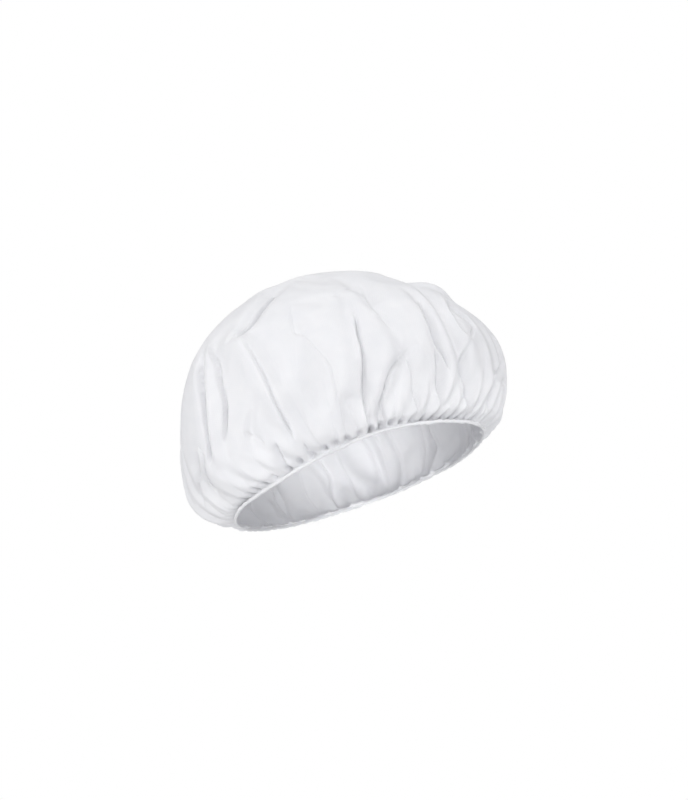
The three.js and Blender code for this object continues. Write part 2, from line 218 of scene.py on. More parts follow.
# Just above the hem it is tucked in: everywhere by this, and more at two places (angle, half width, mm).
TUCK = 0.5
DEEPER_TUCKS = [(208, 14, 2.8), (314, 14, 3.2)]
TUCK_BAND = (-0.012, 0.0, 0.006, 0.02)
# Each pucker has a pit there: depth and half width in mm, and its rise as a share of its depth.
PIT_DEPTH = 5.4
PIT_HALF = 1.7
PIT_RISE = 0.6
PIT_BAND = (0.0, 0.01, 0.016, 0.03)
# The pits have this share of their depth round the far side, where the hem is seen from inside, and all of it
# on the near side. It changes between these sines of the angle, with the sign turned.
FAR_PITS = 0.15
NEAR_SIDE = (0.3, 0.6)

# The simulation: the share up to which the cloth is held, how softly the rest is, the shares by which it
# grows at the top and at the hem, the shares between which that changes, and the farthest move in mm
HELD_UP_TO = 0.008
PIN_WEIGHT = 0.12
TOP_GROWTH = 0.015
HEM_GROWTH = 0.12
GROWTH_FADES = (0.05, 0.75)
FARTHEST_MOVE = 5
RELAX_FRAMES = 10
CLOTH_SETTINGS = {
    "quality": 6, "mass": 0.05, "tension_stiffness": 12, "compression_stiffness": 12, "shear_stiffness": 4,
    "bending_stiffness": 30, "air_damping": 2, "use_pressure": True, "uniform_pressure_force": 0.5,
    "pin_stiffness": 5.0,
}
# Higher up the moves count less: by this share, between these shares up the cloth.
MOVES_LESS = 0.7
MOVES_FADE = (0.4, 0.7)
# How low a lobe of the gathers may hang, in mm above the hem's foot at share 0, and how much more per share.
# The limit bends in over this many mm, and holds from this share up.
LOBE_LOW = 2.4
LOBE_RISE = 50
LOBE_BEND = 1.0
LOBE_FROM = 0.004

# The grid of vertices, from the hem up: columns round the cap, the shares between which they are used, and
# rings. The lowest rings lie closer together, by this power, and so do the columns on the side at -Y, by this
# share. The simulated grid has this many times fewer of both.
CLOTH_ROWS = [(880, CLOTH_FOOT, 0.40, 72), (440, 0.40, 0.78, 56), (220, 0.78, 0.985, 14)]
LOW_RINGS_POWER = 1.35
CLOSER = 0.35
CLOSER_AT = np.radians(270)
COARSER = 2
# the steps in which the way up the cloth is measured for its flat map
ARC_STEPS = 200

# The hem's roll: columns, sides of its section, the power of the section's superellipse, and by how much it
# stays inside its own thickness and height to either side, in mm
HEM_COLUMNS = 900
HEM_SIDES = 16
HEM_POWER = 3
SPARE_THICKNESS = 0.25
SPARE_HEIGHT = 0.1
# each pinch's half width in mm and the power of its section
PINCH_HALF = 1.4
PINCH_POWER = 1.6
# the shares of the pinches and of the fine bumps on its inner side, on its outer side, and on top and foot
PINCH_INNER, PINCH_OUTER, PINCH_TALL = 0.2, 0.5, 0.5
BUMP_INNER, BUMP_OUTER, BUMP_TALL = 0.4, 1.0, 0.5
# bumps at random: how many, the most that they rise or sink in mm, and the bounds of their half widths
FINE_BUMPS = (260, 0.35, (0.7, 1.6))
SWAYS = (60, 0.45, (3, 8))


def step(low, high, value):
    """Rises smoothly from 0 at low to 1 at high."""
    t = np.clip((value - low) / (high - low), 0, 1)
    return t * t * (3 - 2 * t)


def band(begins, full, closes, ends, value):
    """Rises from 0 to 1 between the first two values, and falls to 0 again between the last two."""
    return step(begins, full, value) * (1 - step(closes, ends, value))


def away_from(angle, degrees, radius):
    """The distance round the cap from a place, in the radius's unit, positive towards the larger angles."""
    turns = (angle - np.radians(degrees)) / TURN
    return (turns - np.round(turns)) * TURN * radius


def bell(angle, at, half):
    """A smooth hump of height 1 round an angle, both it and the half width in degrees."""
    return np.exp(-(away_from(angle, at, 180 / np.pi) / half) ** 2)


def calm(angle):
    """The strength of the gathers, puckers and small wrinkles at an angle."""
    return 1 - CALM * bell(angle, CALM_AT, CALM_HALF)


def opening_height(angle):
    """Between two rows of the table, a cubic whose slope at each row is that from its neighbours."""
    at, height = (np.array(v, float) for v in zip(*OPENING_EDGE))
    at = np.concatenate([at - 360, at, at + 360])
    height = np.tile(height, 3)
    degrees = np.degrees(angle) % 360
    i = np.searchsorted(at, degrees, side="right") - 1
    span = at[i + 1] - at[i]
    slope_low = (height[i + 1] - height[i - 1]) / (at[i + 1] - at[i - 1]) * span
    slope_high = (height[i + 2] - height[i]) / (at[i + 2] - at[i]) * span
    t = (degrees - at[i]) / span
    return ((1 + 2 * t) * (1 - t) ** 2 * height[i] + t * (1 - t) ** 2 * slope_low
            + t ** 2 * (3 - 2 * t) * height[i + 1] + t ** 2 * (t - 1) * slope_high)


def opening_width(angle):
    """From the opening's middle to its edge at the sides, in mm."""
    return np.where(np.sin(angle) >= 0, OPENING_TO_LEFT, OPENING_TO_RIGHT)


def smooth_point(angle, share):
    """The crown without folds, in mm."""
    angle, share = np.broadcast_arrays(np.asarray(angle, float), np.asarray(share, float))
    c, s = np.cos(angle), np.sin(angle)
    hem = opening_height(angle) + HEM_HEIGHT
    reach = np.where(c >= 0, BULGE_FRONT, BULGE_BACK)
    end = np.where(c >= 0, BULGE_HEIGHT_FRONT, BULGE_HEIGHT_BACK)
    bulge = end + (BULGE_HEIGHT_SIDE - end) * s**2
    start = np.radians(LEAVING_ANGLE)
    t = start + np.clip(share / BULGE_SHARE, 0, 1) * (np.pi / 2 - start)
    out = (np.sin(t) - np.sin(start)) / (1 - np.sin(start))
    up = 1 - np.cos(t) / np.cos(start)
    x = OPENING_HALF_LENGTH + (reach - OPENING_HALF_LENGTH) * out
    width = opening_width(angle)
    y = width + (BULGE_SIDE - width) * out
    foot = np.clip(share / CLOTH_FOOT, 0, 1) * HEM_HEIGHT / 2
    low = np.stack([x * c, y * s, hem - foot + (bulge - hem) * up], -1)
    t = np.clip((share - BULGE_SHARE) / (1 - BULGE_SHARE), 0, 1) * np.pi / 2
    inward = np.clip(np.cos(t), 0, 1) ** (2 / CROWN_ROUNDNESS)
    upward = np.sin(t) ** (2 / CROWN_ROUNDNESS)
    lean = CROWN_LEAN * np.sin(t) ** 2
    high = np.stack([reach * inward * c + lean, BULGE_SIDE * inward * s,
                     bulge + (CROWN_HEIGHT - bulge) * upward], -1)
    return np.where((share <= BULGE_SHARE)[..., None], low, high)


def outward(angle, share):
    """The direction square to the smooth crown."""
    d = 1e-3
    above = np.minimum(share + d, 1 - d)
    below = np.maximum(above - 2 * d, 0)
    along = smooth_point(angle + d, share) - smooth_point(angle - d, share)
    up = smooth_point(angle, above) - smooth_point(angle, below)
    n = np.cross(along, up)
    return n / np.linalg.norm(n, axis=-1, keepdims=True)


def radius_at(angle, share):
    """From the crown's middle line to the cloth, in mm."""
    p = smooth_point(angle, share)
    return np.hypot(p[..., 0] - CROWN_LEAN * step(BULGE_SHARE, 1, share), p[..., 1])


def gather_depth(angle, share):
    """How far the waves of the gathers stand out, in mm."""
    depth = 0
    slow, fast = STRAY_WAVES
    for count, deep, deepest, end, stray, phase in GATHERS:
        phase = np.radians(phase)
        grows = GATHER_AT_HEM + (1 - GATHER_AT_HEM) * step(0, deepest, share)
        fades = 1 - step(deepest, end, share)
        stray = np.radians(stray) * (np.sin(slow * angle + phase) + np.sin(fast * angle + 2 * phase))
        drift = GATHER_DRIFT * share * np.sin(DRIFT_WAVES * angle + phase)
        uneven = 1 - UNEVEN_SHARE + UNEVEN_SHARE * np.sin(UNEVEN_WAVES * angle + phase)
        wave = np.cos(count * (angle + stray / np.pi + drift) + phase)
        depth = depth + deep * grows * fades * uneven * wave
    return depth * calm(angle) * (1 + FAR_SIDE_DEEPER * step(*FAR_SIDE, np.sin(angle)))


def fold_depth(angle, share):
    """How far the folds of the table stand out, in mm. Each path is a parabola through its three angles."""
    depth = 0
    radius = radius_at(angle, share)
    for row in FOLDS:
        f = dict(zip(FOLD_COLUMNS, row))
        held = step(f["begin"] - FOLD_FADE, f["begin"] + FOLD_FADE, share)
        held = held * (1 - step(f["end"] - FOLD_FADE, f["end"] + FOLD_FADE, share))
        t = np.clip((share - f["begin"]) / (f["end"] - f["begin"]), 0, 1)
        path = (1 - t) * (1 - 2 * t) * f["low"] + 4 * t * (1 - t) * f["mid"] + t * (2 * t - 1) * f["high"]
        away = away_from(angle, path, radius)
        half = np.where(away > 0, f["half"] * f["slope"], f["half"])
        depth = depth + f["rise"] * held * np.exp(-(away / half) ** 2)
    return depth


def make_puckers():
    """Angle in degrees, share of the full depth, half width in mm, reach and slant of every pucker."""
    angles = list(SEEN_PUCKERS)
    at = SEEN_PUCKERS[-1]
    while True:
        at += rng.uniform(*PUCKER_SPACING)
        if at > SEEN_PUCKERS[0] + 360 - PUCKER_SPACING[0]:
            break
        angles.append(at)
    return [(a, *(rng.uniform(*bounds) for bounds in PUCKER_BOUNDS)) for a in angles]


def make_creases():
    """The creases of the table and those that are placed at random."""
    o = OTHER_CREASES
    sectors = np.linspace(o["from"], o["to"], o["count"] + 1)
    out = list(CREASES)
    for low, high in zip(sectors, sectors[1:]):
        foot, top = rng.uniform(*o["foot"]), rng.uniform(*o["top"])
        at = rng.uniform(low, high)
        turns = np.cumsum(np.r_[0, rng.uniform(-o["bend"], o["bend"], o["points"] - 1)])
        path = [(at + t, share) for t, share in zip(turns, np.linspace(top, foot, o["points"]))]
        out.append((rng.uniform(*o["depth"]), rng.uniform(*o["half"]), rng.uniform(*o["lip"]), path))
    return [dict(zip(CREASE_COLUMNS, row)) for row in out]


PUCKERS = make_puckers()
ALL_CREASES = make_creases()


def pucker_depth(angle, share):
    """How far the puckers pull the cloth in above the hem, and the cloth between them swells."""
    radius = radius_at(angle, share)
    strength = calm(angle)
    depth = SWELL * strength * band(*SWELL_BAND, share)
    tuck = TUCK + sum(mm * bell(angle, at, half) for at, half, mm in DEEPER_TUCKS)
    depth = depth - tuck * band(*TUCK_BAND, share)
    for at, deep, half, reach, slant in PUCKERS:
        away = away_from(angle, at + slant * share, radius)
        tall = step(0.0, PUCKER_FULL, share) * np.exp(-np.maximum(share - PUCKER_FALLS, 0) / reach)
        wide = half * (1 + PUCKER_WIDENS * share)
        depth = depth - PUCKER_DEPTH * strength * deep * tall * np.exp(-np.abs(away / wide) ** PUCKER_POWER)
    return depth * (1 - step(*PUCKERS_END, share))


def pit_depth(angle, share):
    """The pits that the puckers leave just above the hem."""
    radius = radius_at(angle, share)
    depth = 0
    for at, deep, *_ in PUCKERS:
        depth = depth + deep * np.exp(-(away_from(angle, at, radius) / PIT_HALF) ** 2)
    seen = FAR_PITS + (1 - FAR_PITS) * step(*NEAR_SIDE, -np.sin(angle))
    return PIT_DEPTH * seen * depth * band(*PIT_BAND, share)


def smooth_path(path):
    """More places along a crease, on a smooth curve through those of the table."""
    p = np.array(path, float)
    p = np.vstack([2 * p[0] - p[1], p, 2 * p[-1] - p[-2]])
    out = []
    for a, b, c, d in zip(p, p[1:], p[2:], p[3:]):
        for t in np.arange(PATH_PIECES) / PATH_PIECES:
            bend = (2 * a - 5 * b + 4 * c - d) * t**2 + (3 * b - a - 3 * c + d) * t**3
            out.append(0.5 * (2 * b + (c - a) * t + bend))
    return np.array(out + [p[-2]])


def nearest_on_path(path, angle, share, radius):
    """Each point's distance to the path in mm, and how far along it the nearest place lies, from 0 to 1. The
    distance is below 0 on the side of the smaller angles, for a path that runs downwards."""
    best = np.full(len(share), np.inf)
    signed = np.zeros(len(share))
    along = np.zeros(len(share))
    for k, ((a0, s0), (a1, s1)) in enumerate(zip(path, path[1:])):
        x0, x1 = (away_from(angle, a, radius) for a in (a0, a1))
        y0, y1 = (share - s0) * CLOTH_UP, (share - s1) * CLOTH_UP
        dx, dy = x0 - x1, y0 - y1
        t = np.clip((x0 * dx + y0 * dy) / (dx**2 + dy**2), 0, 1)
        far = np.hypot(x0 - t * dx, y0 - t * dy)
        side = np.sign(dx * y0 - dy * x0)
        closer = far < best
        best = np.where(closer, far, best)
        signed = np.where(closer, side * far, signed)
        along = np.where(closer, (k + t) / (len(path) - 1), along)
    return signed, along


def crease_depth(angle, share):
    """How far the creases, with the lips beside them, stand out, in mm."""
    depth = np.zeros_like(angle)
    radius = radius_at(angle, share)
    for crease in ALL_CREASES:
        path = smooth_path(crease["path"])
        low, high = path[:, 1].min() - CREASE_NEAR_SHARE, path[:, 1].max() + CREASE_NEAR_SHARE
        apart = np.abs(away_from(angle, path[:, 0].mean(), 1.0))
        reach = np.radians(np.ptp(path[:, 0]) / 2 + CREASE_NEAR_DEGREES)
        near = (share > low) & (share < high) & (apart < reach)
        if not near.any():
            continue
        signed, along = nearest_on_path(path, angle[near], share[near], radius[near])
        x = signed / crease["half"] * (1 if crease["lip"] > 0 else -1)
        fades = crease["path"][-1][1] > CREASE_INTO_HEM
        ends = step(*CREASE_COMES, along) * (1 - step(*CREASE_GOES, along) * fades)
        steep = np.exp(np.minimum(GROOVE_STEEPNESS * x, 0))
        groove = -crease["depth"] * np.where(x > 0, np.exp(-x / GROOVE_REACH), steep)
        lip = np.where(x < 0, (1 - steep) * np.exp(-(x / LIP_REACH) ** 2), 0)
        depth[near] += (groove + abs(crease["lip"]) * lip) * ends
    return depth


def cloth_point(angle, share, fine):
    """The cloth in mm, with its broad folds, and with its creases and puckers too if fine."""
    depth = gather_depth(angle, share) + fold_depth(angle, share)
    if fine:
        depth = depth + pucker_depth(angle, share) + crease_depth(angle, share)
    depth = depth * (1 - step(*TOP_SMOOTH, share))
    level = np.stack([np.cos(angle), np.sin(angle), np.zeros_like(angle)], -1)
    turned = step(0, SQUARE_FROM, share)[..., None]
    direction = level * (1 - turned) + outward(angle, share) * turned
    direction /= np.linalg.norm(direction, axis=-1, keepdims=True)
    out = smooth_point(angle, share) + direction * depth[..., None]
    if fine:
        pit = pit_depth(angle, share)[..., None]
        out = out - pit * level + PIT_RISE * pit * np.array([0, 0, 1])
    return out


def cloth_grid(coarser=1):
    """Angles and shares of the rings of vertices, from the hem up."""
    grid = []
    for row, (columns, low, high, rings) in enumerate(CLOTH_ROWS):
        steps = np.linspace(0, 1, rings // coarser, endpoint=row == len(CLOTH_ROWS) - 1)
        if row == 0:
            steps = steps ** LOW_RINGS_POWER
        turn = np.arange(columns // coarser) / (columns // coarser) * TURN
        angles = turn - CLOSER * np.sin(turn - CLOSER_AT)
        grid += [(angles, np.full(len(turn), share)) for share in low + (high - low) * steps]
    return grid


def build_cloth(grid, fine):
    """Vertices in mm, ring by ring with the top last, faces, and each vertex's angle and share."""
    faces = []
    last, count = None, 0
    for angle, _ in grid:
        ring = np.arange(count, count + len(angle))
        count += len(angle)
        if last is not None:
            after = np.roll(ring, -1)
            if len(last) == len(ring):
                faces += list(zip(last, np.roll(last, -1), after, ring))
            else:
                a, b, c = last[0::2], last[1::2], np.roll(last[0::2], -1)
                faces += list(zip(a, b, ring)) + list(zip(b, after, ring)) + list(zip(b, c, after))
        last = ring
    faces += list(zip(last, np.roll(last, -1), np.full(len(last), count)))
    faces = [tuple(int(i) for i in f) for f in faces]
    angles = np.concatenate([a for a, _ in grid])
    shares = np.concatenate([s for _, s in grid])
    verts = np.vstack([cloth_point(angles, shares, fine), smooth_point(np.zeros(1), np.ones(1))])
    return verts, faces, np.r_[angles, 0], np.r_[shares, 1]


def spread(moved, grid, finer):
    """The moves of the coarse grid's vertices, carried over to the vertices of the finer grid."""
    sizes = [len(a) for a, _ in grid]
    starts = np.cumsum([0] + sizes)
    levels = np.array([s[0] for _, s in grid] + [1.0])

    def ring_moves(i, angle):
        if i >= len(grid):
            return np.repeat(moved[-1:], len(angle), axis=0)
        here = moved[starts[i]:starts[i + 1]]
        known = grid[i][0]
        known = np.concatenate([known - TURN, known, known + TURN])
        return np.stack([np.interp(angle, known, np.tile(here[:, k], 3)) for k in range(3)], -1)

    out = []
    for angle, share in finer:
        i = int(np.clip(np.searchsorted(levels, share[0], side="right") - 1, 0, len(levels) - 2))
        t = (share[0] - levels[i]) / (levels[i + 1] - levels[i])
        out.append(ring_moves(i, angle) * (1 - t) + ring_moves(i + 1, angle) * t)
    return np.vstack(out + [moved[-1:]])


def new_object(name, verts, faces):
    mesh = bpy.data.meshes.new(name)
    mesh.from_pydata([tuple(v) for v in verts], [], faces)
    mesh.update()
    obj = bpy.data.objects.new(name, mesh)
    bpy.context.scene.collection.objects.link(obj)
    mesh.polygons.foreach_set("use_smooth", [True] * len(mesh.polygons))
    return obj


def positions(mesh):
    """The vertices of a mesh as an array, in metres."""
    out = np.empty(len(mesh.vertices) * 3)
    mesh.vertices.foreach_get("co", out)
    return out.reshape(-1, 3)


def above_hem(points, angles, shares):
    """Keeps the lobes of the gathers from hanging lower than the hem. Their lowest height follows a smooth
    bend."""
    low = opening_height(angles) + LOBE_LOW + LOBE_RISE * shares
    above = points[:, 2] - low
    lifted = low + (above + np.sqrt(above**2 + LOBE_BEND**2)) / 2
    out = points.copy()
    out[:, 2] = np.where(shares > LOBE_FROM, lifted, points[:, 2])
    return out


def relax_cloth(points, faces, shares):
    """Cloth simulation: the sheet has a little more cloth than its form, so it buckles into natural wrinkles
    round the designed folds. The hem is held, and the rest held softly. Gives each vertex's move, in mm."""
    obj = new_object("relaxing", points * MM, faces)
    held = obj.vertex_groups.new(name="held")
    grown = obj.vertex_groups.new(name="grown")
    for i, share in enumerate(shares):
        held.add([i], 1.0 if share < HELD_UP_TO else PIN_WEIGHT, "REPLACE")
        grown.add([i], float(1 - step(*GROWTH_FADES, share)), "REPLACE")
    cloth = obj.modifiers.new("cloth", "CLOTH")
    for key, value in CLOTH_SETTINGS.items():
        setattr(cloth.settings, key, value)
    # growth is a shrinking below 0
    cloth.settings.shrink_min = -TOP_GROWTH
    cloth.settings.shrink_max = -HEM_GROWTH
    cloth.settings.vertex_group_shrink = grown.name
    cloth.settings.vertex_group_mass = held.name
    cloth.settings.effector_weights.gravity = 0
    cloth.collision_settings.use_self_collision = False
    scene = bpy.context.scene
    cloth.point_cache.frame_start = 1
    cloth.point_cache.frame_end = RELAX_FRAMES + 1
    for frame_number in range(1, RELAX_FRAMES + 1):
        scene.frame_set(frame_number)
    shape = obj.evaluated_get(bpy.context.evaluated_depsgraph_get())
    moved = positions(shape.to_mesh()) / MM - points
    shape.to_mesh_clear()
    scene.frame_set(1)
    bpy.data.objects.remove(obj)
    far = np.linalg.norm(moved, axis=1, keepdims=True)
    return moved * np.minimum(1, FARTHEST_MOVE / np.maximum(far, 1e-6))


def cloth_uv(obj, angles, shares):
    """Flat maps of the cloth in metres: round the side, and from above."""
    mesh = obj.data
    levels = np.linspace(0, 1, ARC_STEPS)
    section = smooth_point(np.full(len(levels), np.pi / 2), levels)
    arc = np.cumsum(np.r_[0, np.linalg.norm(np.diff(section, axis=0), axis=1)])
    up = np.interp(shares, levels, arc) * MM
    side = mesh.uv_layers.new(name="side")
    top = mesh.uv_layers.new(name="top")
    corners = np.empty(len(mesh.loops), int)
    mesh.loops.foreach_get("vertex_index", corners)
    around = angles[corners]
    starts = np.empty(len(mesh.polygons), int)
    totals = np.empty(len(mesh.polygons), int)
    mesh.polygons.foreach_get("loop_start", starts)
    mesh.polygons.foreach_get("loop_total", totals)
    # a face that crosses angle 0 keeps its corners together
    first = around[starts][np.repeat(np.arange(len(starts)), totals)]
    around = np.where(first - around > np.pi, around + TURN, around)
    side.data.foreach_set("uv", np.stack([around * BULGE_SIDE * MM, up[corners]], -1).ravel())
    top.data.foreach_set("uv", positions(mesh)[corners][:, :2].ravel())


def bumps(angle, radius, count, most, halves):
    """Bumps and hollows at random round the hem, in mm."""
    out = np.zeros_like(angle)
    for _ in range(count):
        at, size, half = rng.uniform(0, 360), rng.uniform(-most, most), rng.uniform(*halves)
        out += size * np.exp(-(away_from(angle, at, radius) / half) ** 2)
    return out


def build_hem():
    """The gathered roll over the elastic: a flattened round section, pinched at each pucker."""
    turn = np.arange(HEM_COLUMNS) / HEM_COLUMNS * TURN
    angle = turn - CLOSER * np.sin(turn - CLOSER_AT)
    radius = (OPENING_HALF_LENGTH + OPENING_TO_LEFT) / 2
    pinch = np.zeros(HEM_COLUMNS)
    for at, deep, *_ in PUCKERS:
        pinch += deep * np.exp(-np.abs(away_from(angle, at, radius) / PINCH_HALF) ** PINCH_POWER)
    fine = bumps(angle, radius, *FINE_BUMPS)
    sway = bumps(angle, radius, *SWAYS)
    verts, faces = [], []
    for k in range(HEM_SIDES):
        cs, sn = np.cos(k / HEM_SIDES * TURN), np.sin(k / HEM_SIDES * TURN)
        square = 1 / (abs(cs) ** HEM_POWER + abs(sn) ** HEM_POWER) ** (1 / HEM_POWER)
        outer = max(cs, 0)
        bumped = fine * (BUMP_INNER + (BUMP_OUTER - BUMP_INNER) * outer)
        pinched = pinch * (PINCH_INNER + (PINCH_OUTER - PINCH_INNER) * outer)
        thick = HEM_THICKNESS / 2 - SPARE_THICKNESS + bumped - pinched
        tall = HEM_HEIGHT / 2 - SPARE_HEIGHT - PINCH_TALL * pinch * abs(sn) + BUMP_TALL * fine
        out = thick * square * cs
        verts.append(np.stack([
            (OPENING_HALF_LENGTH + out) * np.cos(angle), (opening_width(angle) + out) * np.sin(angle),
            opening_height(angle) + HEM_HEIGHT / 2 + sway + tall * square * sn], -1))
        a = np.arange(HEM_COLUMNS) + k * HEM_COLUMNS
        b = np.arange(HEM_COLUMNS) + (k + 1) % HEM_SIDES * HEM_COLUMNS
        faces += list(zip(a, np.roll(a, -1), np.roll(b, -1), b))
    faces = [tuple(int(i) for i in f) for f in faces]
    return new_object("gathered_hem", np.concatenate(verts) * MM, faces)


# Materials

# The cloth's colours, how much light comes through, and how the thin places and pressed points differ
CLOTH_COLOUR = (0.79, 0.79, 0.806, 1.0)
# The hem is the same cloth, but its colour is set darker than the cloth's: painted shade, so that the rolled
# hem shows as a grey line.
HEM_PAINTED_SHADE_COLOUR = (0.71, 0.71, 0.725, 1.0)
CLOTH_THROUGH, HEM_THROUGH = 0.24, 0.04
THIN_TINT = (0.955, 0.962, 0.972)
PRESSED_TINT = 0.93
PRESSED_SHOWS = 0.3
THIN_THROUGH, THICK_THROUGH = 1.12, 0.9
# the bond points: their spacing in metres, the turn of their grid in radians, how oval they are, and the
# radii, in spacings, between which one ends
BOND_PITCH = 0.0014
BOND_TURN = 0.62
BOND_OVAL = 0.62
BOND_RADII = (0.16, 0.27)
# between these heights in metres the flat map from above takes over from the one round the side
MAP_CHANGES = (0.125, 0.14)
# below, in close gathers, the cloth lets only this share of the light through, and all of it above
CLOSE_GATHERS = (0.004, 0.045)
CLOSE_THROUGH = 0.15
# the parts of the clouds and the blotches in the density, and of the fibres and the points in the bump
CLOUD_SHARE, BLOTCH_SHARE = 0.6, 0.4
UNEVEN_RANGE = (0.3, 0.7)
FIBRE_HEIGHT, POINT_HEIGHT = 0.5, 0.9


class Nodes:
    """A short way to write a node material."""

    def __init__(self, name):
        self.material = bpy.data.materials.new(name)
        self.material.use_nodes = True
        self.tree = self.material.node_tree
        self.tree.nodes.clear()

    def add(self, kind, inputs=None, **settings):
        node = self.tree.nodes.new(kind)
        for key, value in settings.items():
            setattr(node, key, value)
        for key, value in (inputs or {}).items():
            self.put(node, key, value)
        return node

    def put(self, node, key, value):
        if isinstance(value, bpy.types.NodeSocket):
            self.tree.links.new(value, node.inputs[key])
        else:
            node.inputs[key].default_value = value

    def maths(self, operation, a, b=0.0):
        return self.add("ShaderNodeMath", {0: a, 1: b}, operation=operation).outputs[0]

    def noise(self, place, scale, detail, roughness, distortion=0.0):
        return self.add("ShaderNodeTexNoise", {"Vector": place, "Scale": scale, "Detail": detail,
                                               "Roughness": roughness, "Distortion": distortion}).outputs[0]

    def rescale(self, value, from_range=(0.0, 1.0), to_range=(0.0, 1.0), **settings):
        inputs = {"Value": value, "From Min": from_range[0], "From Max": from_range[1],
                  "To Min": to_range[0], "To Max": to_range[1]}
        return self.add("ShaderNodeMapRange", inputs, **settings).outputs[0]

    def blend(self, kind, share, a, b):
        return self.add("ShaderNodeMix", {"Factor": share, "A": a, "B": b}, data_type=kind).outputs["Result"]


def tinted(colour, tint):
    return tuple(c * k for c, k in zip(colour[:3], tint)) + (1.0,)


def bond_points(n, uv_name):
    """The small pressed points of spunbond cloth, on a slanting grid: 1 in a point, 0 between."""
    uv = n.add("ShaderNodeUVMap", uv_map=uv_name).outputs[0]
    turned = n.add("ShaderNodeMapping", {"Vector": uv, "Rotation": (0, 0, BOND_TURN),
                                         "Scale": (1 / BOND_PITCH,) * 3})
    cell = n.add("ShaderNodeSeparateXYZ", {0: turned.outputs[0]})
    across = n.maths("SUBTRACT", n.maths("FRACT", cell.outputs[0]), 0.5)
    along = n.maths("SUBTRACT", n.maths("FRACT", cell.outputs[1]), 0.5)
    across = n.maths("POWER", n.maths("ABSOLUTE", across), 2.0)
    along = n.maths("POWER", n.maths("ABSOLUTE", n.maths("MULTIPLY", along, BOND_OVAL)), 2.0)
    away = n.maths("SQRT", n.maths("ADD", across, along))
    return n.rescale(away, BOND_RADII, (1.0, 0.0), interpolation_type="SMOOTHSTEP")


def nonwoven(name, colour, see_through, mapped):
    """Spunbond nonwoven cloth: uneven density, fibres and, where it has the flat maps, bond points."""
    n = Nodes(name)
    place = n.add("ShaderNodeTexCoord").outputs["Object"]
    high = n.add("ShaderNodeSeparateXYZ", {0: place}).outputs[2]
    cloud = n.noise(place, scale=90.0, detail=4.0, roughness=0.6)
    blotch = n.noise(place, scale=22.0, detail=2.0, roughness=0.5)
    fibre = n.noise(place, scale=900.0, detail=3.0, roughness=0.7, distortion=1.5)
    cloud, blotch = n.maths("MULTIPLY", cloud, CLOUD_SHARE), n.maths("MULTIPLY", blotch, BLOTCH_SHARE)
    density = n.rescale(n.maths("ADD", cloud, blotch), UNEVEN_RANGE)
    shade = n.blend("RGBA", density, tinted(colour, THIN_TINT), colour)
    height = n.maths("MULTIPLY", fibre, FIBRE_HEIGHT)
    if mapped:
        from_above = n.rescale(high, MAP_CHANGES)
        points = n.blend("FLOAT", from_above, bond_points(n, "side"), bond_points(n, "top"))
        height = n.maths("SUBTRACT", height, n.maths("MULTIPLY", points, POINT_HEIGHT))
        pressed = tinted(colour, (PRESSED_TINT,) * 3)
        shade = n.blend("RGBA", n.maths("MULTIPLY", points, PRESSED_SHOWS), shade, pressed)
    bump = n.add("ShaderNodeBump", {"Height": height, "Strength": 0.35, "Distance": 0.00012})
    cloth = n.add("ShaderNodeBsdfPrincipled", {
        "Base Color": shade, "Roughness": 0.62, "Specular IOR Level": 0.3, "Sheen Weight": 0.15,
        "Sheen Roughness": 0.5, "Normal": bump.outputs[0]})
    through = n.add("ShaderNodeBsdfTranslucent", {"Color": shade, "Normal": bump.outputs[0]})
    amount = n.rescale(density, to_range=(see_through * THIN_THROUGH, see_through * THICK_THROUGH))
    amount = n.maths("MULTIPLY", amount, n.rescale(high, CLOSE_GATHERS, (CLOSE_THROUGH, 1.0)))
    both = n.add("ShaderNodeMixShader", {0: amount, 1: cloth.outputs[0], 2: through.outputs[0]})
    n.add("ShaderNodeOutputMaterial", {0: both.outputs[0]})
    return n.material


# The cap

coarse, fine = cloth_grid(COARSER), cloth_grid()
broad_points, broad_faces, broad_angles, broad_shares = build_cloth(coarse, fine=False)
moves = relax_cloth(broad_points, broad_faces, broad_shares)
moves = moves * (calm(broad_angles) * (1 - MOVES_LESS * step(*MOVES_FADE, broad_shares)))[:, None]
points, faces, angles, shares = build_cloth(fine, fine=True)
points = above_hem(points + spread(moves, coarse, fine), angles, shares)
crown = new_object("crown_cloth", points * MM, faces)
cloth_uv(crown, angles, shares)
crown.data.materials.append(nonwoven("nonwoven_cloth", CLOTH_COLOUR, CLOTH_THROUGH, mapped=True))
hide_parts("crown")
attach(crown, "root")

hem = build_hem()
# the hem gets the darker copy of the cloth: painted shade on the roll
hem.data.materials.append(nonwoven("hem_cloth", HEM_PAINTED_SHADE_COLOUR, HEM_THROUGH, mapped=False))
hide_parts("elastic_band")
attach(hem, "root")

# The camera: from below the rim, looking up, and turned so that the cap's front rises. Angles in degrees, and
# the distance in metres from the middle of the opening, which lies at this pixel and scale of the picture.
ELEVATION = 16.655
ROLL = 20.624
DISTANCE = 1.3
PIXELS_PER_MM_AT_RIM = 1 / 0.7527
RIM_PIXEL = (360.9, 479.5)
PICTURE = (688, 800)
SENSOR = 36.0
CLIP_END = 50


